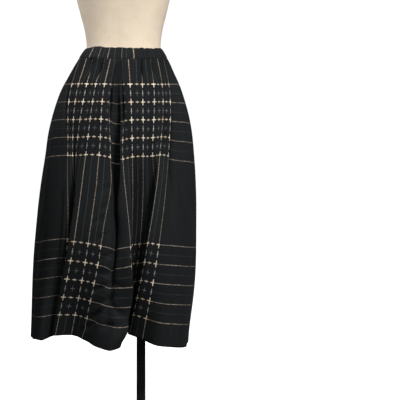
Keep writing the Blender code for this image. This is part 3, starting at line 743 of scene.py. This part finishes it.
    # colours
    crossTint = nodes.tint(nodes.smooth(luck, 0.50, 0.95), check["cream"], check["apricot"])
    greyRowOnly = nodes.math("MULTIPLY", oddV, nodes.math("SUBTRACT", 1.0, oddU))
    crossTint = nodes.tint(greyRowOnly, crossTint, check["white"])
    crossTint = nodes.tint(nodes.math("MULTIPLY", oddU, oddV), crossTint, check["darkCross"])
    ground = nodes.tint(block, check["ground"], check["blockGround"])
    mottle = nodes.noise(nodes.stretched(uv, (60.0, 14.0, 1.0)), 1.0, 4.0, 0.6)
    mottle = nodes.tint(mottle, (0.72, 0.72, 0.72, 1), (1.28, 1.28, 1.28, 1))
    ground = nodes.tint(1.0, ground, mottle, "MULTIPLY")
    # painted shade: the ground is made darker deep in the folds and just under the band
    if rowsToo:
        for place, level, wide, long, dark in check["foldShades"]:
            offPlace = nodes.math("MULTIPLY_ADD", u, 1 / wide, -place / wide)
            offLevel = nodes.math("MULTIPLY_ADD", v, 1 / long, -level / long)
            far = nodes.math("ADD", nodes.math("MULTIPLY", offPlace, offPlace),
                             nodes.math("MULTIPLY", offLevel, offLevel))
            ground = nodes.tint(1.0, ground, nodes.smooth(far, 0.0, 2.4, 1.0 - dark, 1.0), "MULTIPLY")
    colour = nodes.tint(nodes.math("MULTIPLY", openColumn, nodes.blend(oddU, 0.85, 0.95)), ground,
                        nodes.tint(oddU, check["tan"], check["grey"]))
    if rowsToo:
        colour = nodes.tint(nodes.math("MULTIPLY", openRow, nodes.blend(oddV, 0.75, 0.8)), colour,
                            nodes.tint(oddV, check["straw"], check["grey"]))
        colour = nodes.tint(nodes.math("MULTIPLY", cross, strength), colour, crossTint)
    nodes.link(colour, nodes.shader.inputs["Base Color"])

    # plain weave, slubs, the pattern's thicker threads and the hem's row of stitches
    weaveU, weaveV = (nodes.math("SINE", nodes.math("MULTIPLY", split.outputs[i], 2 * math.pi / pitch))
                      for i, pitch in enumerate(check["threadPitch"]))
    weave = nodes.math("MULTIPLY", weaveU, weaveV)
    slub = nodes.noise(nodes.stretched(uv, (700.0, 90.0, 1.0)), 1.0, 3.0, 0.6)
    thicker = nodes.math("MAXIMUM", openColumn, cross)
    offStitches = nodes.math("ABSOLUTE", nodes.math("SUBTRACT", v, check["stitchLevel"]))
    gaps = nodes.math("SINE", nodes.math("MULTIPLY", u, check["stitchTurn"]))
    stitch = nodes.math("MULTIPLY", nodes.smooth(offStitches, 0.03, 0.07, 1.0, 0.0),
                        nodes.smooth(gaps, -0.5, 0.1))
    height = nodes.math("ADD", nodes.math("MULTIPLY", weave, 0.20), nodes.math("MULTIPLY", slub, 0.8))
    height = nodes.math("ADD", height, nodes.math("MULTIPLY", thicker, 1.2))
    height = nodes.math("ADD", height, nodes.math("MULTIPLY", stitch, -1.5))
    nodes.link(nodes.bump(height, 0.5, 0.00022), nodes.shader.inputs["Normal"])
    nodes.link(nodes.math("MULTIPLY_ADD", slub, 0.14, 0.76), nodes.shader.inputs["Roughness"])
    nodes.shader.inputs["Sheen Weight"].default_value = 0.02
    nodes.shader.inputs["Sheen Roughness"].default_value = 0.5
    nodes.shader.inputs["Sheen Tint"].default_value = (0.75, 0.85, 0.90, 1)
    nodes.shader.inputs["Specular IOR Level"].default_value = 0.12
    return nodes.material


waistband = {
    "top": (11.05, 9.55, 0.0, 0.0),              # half width, half depth, x, y, cm
    "bottom": (12.95, 10.95, -0.2, 0.0),
    "columns": 900, "rowsASide": 14,
    "halfWall": 0.09,            # from the middle of the band to its faces, cm
    "ripples": 74,
    "ripple": 0.12,              # height of a ripple, cm
    # waves that shift the ripples, and uneven pull of the elastic on the upper edge: times round, start, size
    "rippleShifts": ((3, 0.0, 1.6), (5, 1.0, 1.1), (11, 0.0, 0.8)),
    "edgeWaves": ((9, 1.2, 0.07), (23, 0.0, 0.05), (41, 0.5, 0.04)),
    "edgeLifts": ((-32, 16, 0.30), (48, 14, -0.16)),             # turn, spread, rise
    "wall": 0.0006,
    "clothHeight": 6.6,          # strip that is folded over the elastic, cm
    # turn of the body in degrees against the place on the band's own cloth, cm
    "cloth": ((-180, 0.0), (-96, 17.4), (-39.5, 22.0), (-24.8, 26.5), (-11.5, 31.0), (-2.8, 33.25),
              (6.8, 35.5), (12.5, 37.75), (22.5, 40.0), (95, 59.0), (180, 80.0)),
}


def makeWaistband():
    columns, side, half = waistband["columns"], waistband["rowsASide"], waistband["halfWall"]
    degrees = np.linspace(-180, 180, columns)
    turn = np.radians(degrees)

    def waves(table):
        return sum(size * np.sin(times * turn + begin) for times, begin, size in table)

    low, high = bandHeights(degrees)
    low = low + 0.02
    high = high + 0.12 + waves(waistband["edgeWaves"])
    for middle, spread, rise in waistband["edgeLifts"]:
        high = high + rise * np.exp(-((degrees - middle) / spread) ** 2)
    phase = waistband["ripples"] * turn + waves(waistband["rippleShifts"])
    deep = 0.70 + 0.55 * np.sin(7 * turn + 0.7) * np.sin(4 * turn + 2) + 0.25 * np.sin(19 * turn + 0.4)
    # path of the strip: up inside, over the top, down outside
    shares = np.concatenate([np.linspace(0.0, 0.93, side), [0.985, 1.0, 0.985], np.linspace(0.93, 0.0, side)])
    outward = np.concatenate([np.full(side, -half), [-half / 1.5, 0.0, half / 1.5], np.full(side, half)])
    grid = np.empty((columns, len(shares), 3))
    for j, (t, out) in enumerate(zip(shares, outward)):
        oval = [t * a + (1 - t) * b for a, b in zip(waistband["top"], waistband["bottom"])]
        outer = out > 0
        pinch = 1.0 if 0.12 < t < 0.9 else 0.55
        wave = waistband["ripple"] * deep * np.cos(phase + 0.9 * t * np.sin(6 * turn)) * pinch
        swell = 0.10 * 4 * t * (1 - t)
        lift = out + swell + (wave if outer else 0.15 * wave)
        if outer and t < 0.08:
            lift = lift - 0.07
        x, y = onOval(oval, degrees)
        grid[:, j, 0] = x + lift * np.sin(turn)
        grid[:, j, 1] = y - lift * np.cos(turn)
        grid[:, j, 2] = t * high + (1 - t) * low + 0.03 * np.cos(phase * 0.5 + 1) * t
    place = np.interp(degrees, *zip(*waistband["cloth"]))
    uv = np.empty(grid.shape[:2] + (2,))
    uv[:, :, 0] = (place[:, None] + 1.0) / 100
    uv[:, :, 1] = 1 - np.linspace(0.0, waistband["clothHeight"], len(shares))[None, :] / 100
    grid[-1] = grid[0]
    band = shapedGrid("waistband_cloth", toWorld(grid), uv, closed=True)
    giveWall(band, waistband["wall"], -1.0)
    return band


form = {
    # height above eye level, half width, half depth, centre y, in cm
    "sections": (
        (8.0, 12.6, 8.6, 0.2), (8.8, 14.2, 9.8, 0.2), (12.0, 15.2, 10.6, 0.2), (19.0, 15.4, 10.7, 0.2),
        (26.0, 14.4, 10.4, 0.1), (32.0, 12.7, 9.9, 0.0), (37.0, 11.2, 9.5, 0.0), (41.0, 10.83, 9.33, 0.0),
        (46.0, 11.3, 9.6, -0.1), (52.0, 12.8, 10.4, -0.4), (58.0, 14.2, 11.5, -0.9), (64.0, 15.0, 12.0, -1.1),
        (70.0, 15.3, 10.9, -0.4), (76.0, 16.2, 9.2, 0.5), (79.5, 15.4, 8.0, 0.9), (82.0, 12.2, 7.0, 1.1),
        (84.0, 8.6, 6.3, 1.0), (86.0, 6.3, 6.0, 0.8), (91.0, 5.6, 5.8, 0.5),
    ),
    "straightEnds": (9.0, 86.0),              # below and above these heights the sides run straight
    "bust": (63.5, 5.2, 34.0, 20.0, 1.5),     # height, spread, turn, spread, rise
    "seams": (0.0, 38.0, -38.0, 92.0, -92.0, 142.0, -142.0, 180.0),
    "seamDepth": 0.035, "seamSpread": 0.9,    # cm and degrees
    "columns": 289, "rows": 150,
    "linen": (0.81, 0.685, 0.53, 1),
    "linenDark": (0.71, 0.575, 0.425, 1),
    "threadPitch": 0.0011,                    # metres
}


def makeForm():
    columns, rows = form["columns"], form["rows"]
    degrees = np.linspace(-180, 180, columns)
    turn = np.radians(degrees)
    knots, *measures = (np.array(column) for column in zip(*form["sections"]))
    heights = np.linspace(knots[-1], knots[0], rows)
    low, high = form["straightEnds"]
    straight = (heights < low) | (heights > high)
    wide, deep, middle = (
        np.where(straight, np.interp(heights, knots, values), smoothCurve(knots, values, heights))
        for values in measures)
    top, spread, sideTurn, sideSpread, rise = form["bust"]
    bust = rise * np.exp(-((heights - top) / spread) ** 2)
    side = np.exp(-((np.abs(degrees) - sideTurn) / sideSpread) ** 2)
    grid = np.empty((columns, rows, 3))
    grid[:, :, 0] = wide[None, :] * np.sin(turn)[:, None]
    grid[:, :, 1] = middle[None, :] - deep[None, :] * np.cos(turn)[:, None] - bust[None, :] * side[:, None]
    grid[:, :, 2] = heights[None, :]
    # the cover's seams sink a little
    groove = np.zeros(columns)
    for seam in form["seams"]:
        groove += form["seamDepth"] * np.exp(-((degrees - seam) / form["seamSpread"]) ** 2)
    grid[:, :, 0] -= groove[:, None] * np.sin(turn)[:, None]
    grid[:, :, 1] += groove[:, None] * np.cos(turn)[:, None]
    grid[-1] = grid[0]
    body = shapedGrid("form_cover", toWorld(grid), closed=True)
    bpy.ops.object.mode_set(mode="EDIT")
    bpy.ops.mesh.select_all(action="DESELECT")
    bpy.ops.mesh.select_non_manifold()
    bpy.ops.mesh.fill_holes(sides=0)
    bpy.ops.mesh.select_all(action="SELECT")
    bpy.ops.mesh.normals_make_consistent(inside=False)
    bpy.ops.object.mode_set(mode="OBJECT")
    bpy.ops.object.shade_smooth_by_angle(angle=math.radians(50))
    return body


def linenMaterial():
    nodes = NodeTree("form_linen")
    place = nodes.node("ShaderNodeTexCoord").outputs["Object"]
    split = nodes.node("ShaderNodeSeparateXYZ")
    nodes.link(place, split.inputs[0])
    rows = nodes.math("SINE", nodes.math("MULTIPLY", split.outputs[2], 2 * math.pi / form["threadPitch"]))
    mottle = nodes.noise(place, 22.0, 4.0, 0.6)
    warp = nodes.noise(nodes.stretched(place, (900.0, 900.0, 60.0)), 1.0, 2.0, 0.6)
    weft = nodes.noise(nodes.stretched(place, (60.0, 60.0, 1000.0)), 1.0, 2.0, 0.6)
    colour = nodes.tint(nodes.smooth(mottle, 0.3, 0.75), form["linen"], form["linenDark"])
    colour = nodes.tint(0.55, form["linen"], colour)
    threads = nodes.math("MULTIPLY", nodes.math("ADD", warp, weft), 0.5)
    threads = nodes.tint(threads, (0.86, 0.86, 0.86, 1), (1.14, 1.14, 1.14, 1))
    nodes.link(nodes.tint(1.0, colour, threads, "MULTIPLY"), nodes.shader.inputs["Base Color"])
    height = nodes.math("ADD", nodes.math("MULTIPLY", rows, 0.25), nodes.math("ADD", warp, weft))
    nodes.link(nodes.bump(height, 0.45, 0.00025), nodes.shader.inputs["Normal"])
    nodes.link(nodes.math("MULTIPLY_ADD", mottle, 0.12, 0.78), nodes.shader.inputs["Roughness"])
    nodes.shader.inputs["Sheen Weight"].default_value = 0.15
    nodes.shader.inputs["Specular IOR Level"].default_value = 0.25
    return nodes.material


stand = {
    "metal": (0.024, 0.025, 0.026, 1),
    "metalWorn": (0.017, 0.0175, 0.018, 1),
    "wood": (0.060, 0.036, 0.022, 1),
    "woodDark": (0.022, 0.013, 0.008, 1),
    "roughness": {"pole": 0.36, "socket": 0.42, "base": 0.48},
}


def metalMaterial(name, roughness):
    nodes = NodeTree(name)
    place = nodes.node("ShaderNodeTexCoord").outputs["Object"]
    grain = nodes.noise(place, 420.0, 3.0)
    wear = nodes.noise(place, 14.0, 5.0, 0.65)
    colour = nodes.tint(nodes.smooth(wear, 0.45, 0.8), stand["metal"], stand["metalWorn"])
    nodes.link(colour, nodes.shader.inputs["Base Color"])
    nodes.link(nodes.math("MULTIPLY_ADD", wear, 0.20, roughness - 0.10), nodes.shader.inputs["Roughness"])
    nodes.link(nodes.bump(grain, 0.25, 0.00008), nodes.shader.inputs["Normal"])
    nodes.shader.inputs["Specular IOR Level"].default_value = 0.18
    return nodes.material


def woodMaterial():
    nodes = NodeTree("neck_wood")
    place = nodes.node("ShaderNodeTexCoord").outputs["Object"]
    rings = nodes.noise(nodes.stretched(place, (60.0, 8.0, 8.0)), 4.0, 5.0, 0.6)
    colour = nodes.tint(nodes.smooth(rings, 0.3, 0.7), stand["wood"], stand["woodDark"])
    nodes.link(colour, nodes.shader.inputs["Base Color"])
    nodes.link(nodes.math("MULTIPLY_ADD", rings, 0.15, 0.32), nodes.shader.inputs["Roughness"])
    nodes.link(nodes.bump(rings, 0.2, 0.0002), nodes.shader.inputs["Normal"])
    return nodes.material


addCamera()
addStudio()
print("camera and studio ready")

clothLook = clothMaterial("skirt_check_cloth")
frontPanel = makePanel("skirt_front", skirt["seamRight"], skirt["seamLeft"])
backPanel = makePanel("skirt_back", skirt["seamLeft"], skirt["seamRight"] + skirt["girth"])
for panel, node in ((frontPanel, "front_panel"), (backPanel, "back_panel")):
    dress(panel, clothLook)
    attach(panel, "root")
    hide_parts(node)
print("skirt panels ready")

band = makeWaistband()
dress(band, clothMaterial("waistband_cloth_look", rowsToo=False))
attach(band, "root")
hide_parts("waistband")
print("waistband ready")

cover = makeForm()
dress(cover, linenMaterial())
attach(cover, "root")
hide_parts("form_torso")
print("dress form ready")

rough = stand["roughness"]
for name, look in (("pole", metalMaterial("pole_black", rough["pole"])),
                   ("pole_socket", metalMaterial("socket_black", rough["socket"])),
                   ("base", metalMaterial("base_black", rough["base"])), ("neck_cap", woodMaterial())):
    for part in (thing for thing in bpy.data.objects if thing.name == name):
        part.data.materials.clear()
        part.data.materials.append(look)
print("stand ready")
